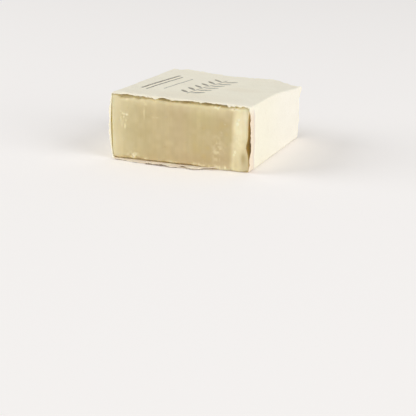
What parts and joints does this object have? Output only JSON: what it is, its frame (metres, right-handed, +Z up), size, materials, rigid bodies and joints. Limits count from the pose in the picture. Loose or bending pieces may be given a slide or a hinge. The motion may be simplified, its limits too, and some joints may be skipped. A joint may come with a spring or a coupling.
{
  "type": "shampoo bar",
  "caption": "Slab-cut bar of shampoo soap in a folded paper sleeve with torn edges, open at both ends and glued where the sheet overlaps under the base.",
  "frame": {"origin": "middle of the sleeve's underside, on the surface that the bar lies on", "axes": "+Z up, +Y from one bare end of the soap to the other, +X from one wrapped side to the other"},
  "size_m": [0.0658, 0.0678, 0.0293],
  "materials": {
    "soap": "matte, waxy",
    "wrapper_paper": "soft, fibrous"
  },
  "bodies": {
    "root": {"soap_bar": "soap", "paper_wrapper": "wrapper_paper"}
  },
  "joints": []
}
